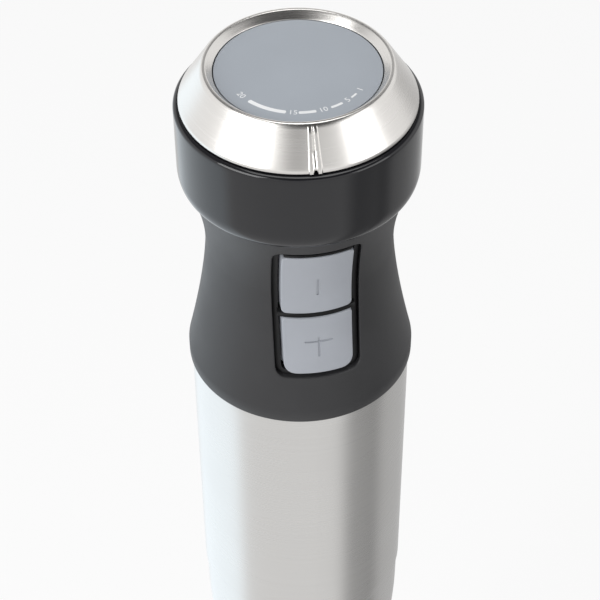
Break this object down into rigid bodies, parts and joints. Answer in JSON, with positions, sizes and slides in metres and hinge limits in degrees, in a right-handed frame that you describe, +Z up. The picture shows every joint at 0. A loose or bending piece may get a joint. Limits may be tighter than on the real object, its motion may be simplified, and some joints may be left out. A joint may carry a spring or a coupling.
{
  "type": "hand blender",
  "caption": "Electric hand blender: turning speed dial over a gloss collar, waisted grip with two sprung buttons, steel motor sleeve and twist-off blending shaft with bell and blade.",
  "frame": {"origin": "centre of the bell's rim, on the surface that the blender stands on", "axes": "+Z up the blender's axis to the dial; the buttons face -Y; +X is to the right of someone facing the buttons"},
  "size_m": [0.066, 0.066, 0.395],
  "materials": {
    "brushed_steel": "fine brushed, satin",
    "disc_grey": "fine satin",
    "gloss_black": "high gloss",
    "soft_black": "soft-touch matte",
    "recess_black": "satin",
    "button_grey": "satin",
    "moulded_black": "moulded satin",
    "switch_black": "moulded",
    "rubber": "matte",
    "circuit_board": "lacquered",
    "plain_steel": "turned steel",
    "core_iron": "laminated, lacquered",
    "enamelled_copper": "enamelled wire",
    "commutator_copper": "turned",
    "brass": "bright",
    "bronze": "sintered, oiled",
    "carbon": "matte",
    "fan_white": "moulded",
    "coupling_black": "moulded",
    "capacitor_yellow": "moulded",
    "aluminium": "extruded",
    "lead_insulation": "extruded"
  },
  "bodies": {
    "motor_unit": {"head_collar": "gloss_black", "cord_gland": "rubber", "speed_track_board": "circuit_board", "scale_disc": "disc_grey", "grip_front_shell": "soft_black", "grip_rear_shell": "soft_black", "button_bezel": "recess_black", "speed_switch": "switch_black", "turbo_switch": "switch_black", "speed_spring": "plain_steel", "turbo_spring": "plain_steel", "switch_board": "circuit_board", "inner_chassis": "moulded_black", "chassis_screws": "plain_steel", "control_board": "circuit_board", "suppression_capacitor": "capacitor_yellow", "heat_sink": "aluminium", "motor_leads": "lead_insulation", "steel_sleeve": "brushed_steel", "upper_motor_mount": "rubber", "lower_motor_mount": "rubber", "upper_bracket": "moulded_black", "lower_bracket": "core_iron", "motor_screws": "plain_steel", "field_core": "core_iron", "field_coils": "enamelled_copper", "upper_bearing": "plain_steel", "lower_bearing": "plain_steel", "brush_holders": "brass", "carbon_brushes": "carbon", "brush_springs": "plain_steel", "bayonet_socket": "moulded_black", "socket_screws": "plain_steel"},
    "dial": {"dial_ring": "brushed_steel", "dial_carrier": "moulded_black", "dial_wiper": "brass"},
    "speed_button": {"speed_button": "button_grey", "speed_plunger": "plain_steel"},
    "turbo_button": {"turbo_button": "button_grey", "turbo_plunger": "plain_steel"},
    "armature": {"motor_shaft": "plain_steel", "armature_core": "core_iron", "armature_windings": "enamelled_copper", "commutator": "commutator_copper", "cooling_fan": "fan_white", "drive_coupling": "coupling_black"},
    "blending_shaft": {"shaft_shoulder": "brushed_steel", "bayonet_plug": "moulded_black", "shaft_tube": "brushed_steel", "bell_guard": "brushed_steel", "bearing_carrier": "moulded_black", "upper_bush": "bronze", "lower_bush": "bronze", "shaft_seal": "rubber"},
    "blade_drive": {"drive_spindle": "plain_steel", "driven_coupling": "coupling_black", "blade": "plain_steel", "blade_nut": "plain_steel"}
  },
  "joints": [
    {"name": "dial_turn", "type": "hinge", "parent": "motor_unit", "child": "dial", "pos_m": [0, 0, 0.39], "axis": [0, 0, 1], "range_deg": [-68, 52]},
    {"name": "speed_press", "type": "slide", "parent": "motor_unit", "child": "speed_button", "axis": [0, 1, 0], "range_m": [0, 0.0016], "stiffness_N_per_m": 1500, "springref_m": -0.001, "deforming": ["speed_spring"]},
    {"name": "turbo_press", "type": "slide", "parent": "motor_unit", "child": "turbo_button", "axis": [0, 1, 0], "range_m": [0, 0.0016], "stiffness_N_per_m": 1500, "springref_m": -0.001, "deforming": ["turbo_spring"]},
    {"name": "armature_spin", "type": "hinge", "parent": "motor_unit", "child": "armature", "pos_m": [0, 0, 0.26], "axis": [0, 0, 1], "continuous": true},
    {"name": "shaft_twist", "type": "hinge", "parent": "motor_unit", "child": "blending_shaft", "pos_m": [0, 0, 0.21], "axis": [0, 0, 1], "range_deg": [0, 28]},
    {"name": "blade_spin", "type": "hinge", "parent": "blending_shaft", "child": "blade_drive", "pos_m": [0, 0, 0.1], "axis": [0, 0, 1], "continuous": true}
  ],
  "couplings": [
    {"joint": "blade_spin", "follows": "armature_spin", "ratio": 1}
  ]
}
